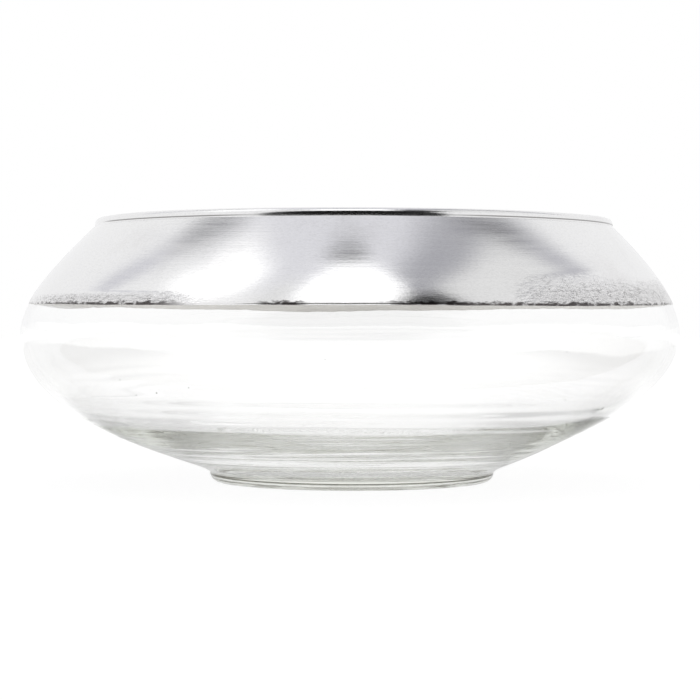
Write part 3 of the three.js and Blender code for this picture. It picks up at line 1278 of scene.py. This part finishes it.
def table(look):
    """A wide white table."""
    corners = [
        (-TABLE_SIDE, TABLE_FRONT, TABLE_LEVEL),
        (TABLE_SIDE, TABLE_FRONT, TABLE_LEVEL),
        (TABLE_SIDE, TABLE_BACK, TABLE_LEVEL),
        (-TABLE_SIDE, TABLE_BACK, TABLE_LEVEL),
    ]
    mesh = bpy.data.meshes.new("white_table")
    mesh.from_pydata(corners, [], [(0, 1, 2, 3)])
    mesh.materials.append(table_material(look))
    floor = bpy.data.objects.new("white_table", mesh)
    bpy.context.scene.collection.objects.link(floor)


LAMP_WIDTH = 1.2
LAMP_HEIGHT = 1.4
LAMP_POWER = 2.5


def overhead_lamp():
    """A wide soft lamp that shines down on the bowl, for the shadow under it."""
    light = bpy.data.lights.new("overhead", "AREA")
    light.shape = "DISK"
    light.size = LAMP_WIDTH
    light.energy = LAMP_POWER
    lamp = bpy.data.objects.new("overhead", light)
    lamp.location = (0.0, 0.0, LAMP_HEIGHT)
    lamp.visible_glossy = False
    lamp.visible_transmission = False
    lamp.visible_camera = False
    bpy.context.scene.collection.objects.link(lamp)


SENSOR_WIDTH = 36
CLIP_END = 100


def camera(look):
    """The camera of the photograph, level with the upper belly."""
    view = bpy.data.cameras.new("camera")
    view.lens = look.camera_lens
    view.sensor_width = SENSOR_WIDTH
    view.clip_end = CLIP_END
    viewer = bpy.data.objects.new("camera", view)
    viewer.location = (0, -look.camera_distance, look.camera_height)
    viewer.rotation_euler = (math.pi / 2 - look.camera_pitch, -look.camera_roll, 0)
    bpy.context.scene.collection.objects.link(viewer)
    bpy.context.scene.camera = viewer


class BOWL_OT_studio(bpy.types.Operator):
    """Set up the white table, the studio light and the camera"""

    bl_idname = "bowl.studio"
    bl_label = "Studio"

    def execute(self, context):
        scene = context.scene
        scene.view_settings.view_transform = "Standard"
        for bounces in ("max_bounces", "glossy_bounces", "transmission_bounces"):
            setattr(scene.cycles, bounces, LIGHT_STEPS)
        studio_world(scene.bowl_studio)
        table(scene.bowl_studio)
        overhead_lamp()
        camera(scene.bowl_studio)
        return {"FINISHED"}


class BOWL_PT_panel(bpy.types.Panel):
    """The bowl's sizes and finishes, and a button for each piece"""

    bl_label = "Glass Bowl"
    bl_idname = "BOWL_PT_panel"
    bl_space_type = "VIEW_3D"
    bl_region_type = "UI"
    bl_category = "Glass Bowl"

    def draw(self, context):
        for operator in OPERATORS:
            self.layout.operator(operator.bl_idname)
        for name, group in SETTINGS.items():
            settings = getattr(context.scene, name)
            column = self.layout.column(align=True)
            for entry in group.__annotations__:
                column.prop(settings, entry)


OPERATORS = (BOWL_OT_studio, BOWL_OT_glass, BOWL_OT_silver)
SETTINGS = {"bowl_sizes": BowlSizes, "bowl_finish": BowlFinish, "bowl_studio": StudioLook}
CLASSES = (*SETTINGS.values(), *OPERATORS, BOWL_PT_panel)


def register():
    """Adds the classes and their settings to Blender."""
    for entry in CLASSES:
        bpy.utils.register_class(entry)
    for name, group in SETTINGS.items():
        setattr(bpy.types.Scene, name, bpy.props.PointerProperty(type=group))


def unregister():
    """Takes them away again."""
    for name in SETTINGS:
        delattr(bpy.types.Scene, name)
    for entry in reversed(CLASSES):
        bpy.utils.unregister_class(entry)


def main():
    """Makes the whole scene."""
    register()
    bpy.ops.bowl.studio()
    bpy.ops.bowl.glass()
    bpy.ops.bowl.silver()


if __name__ == "__main__":
    main()
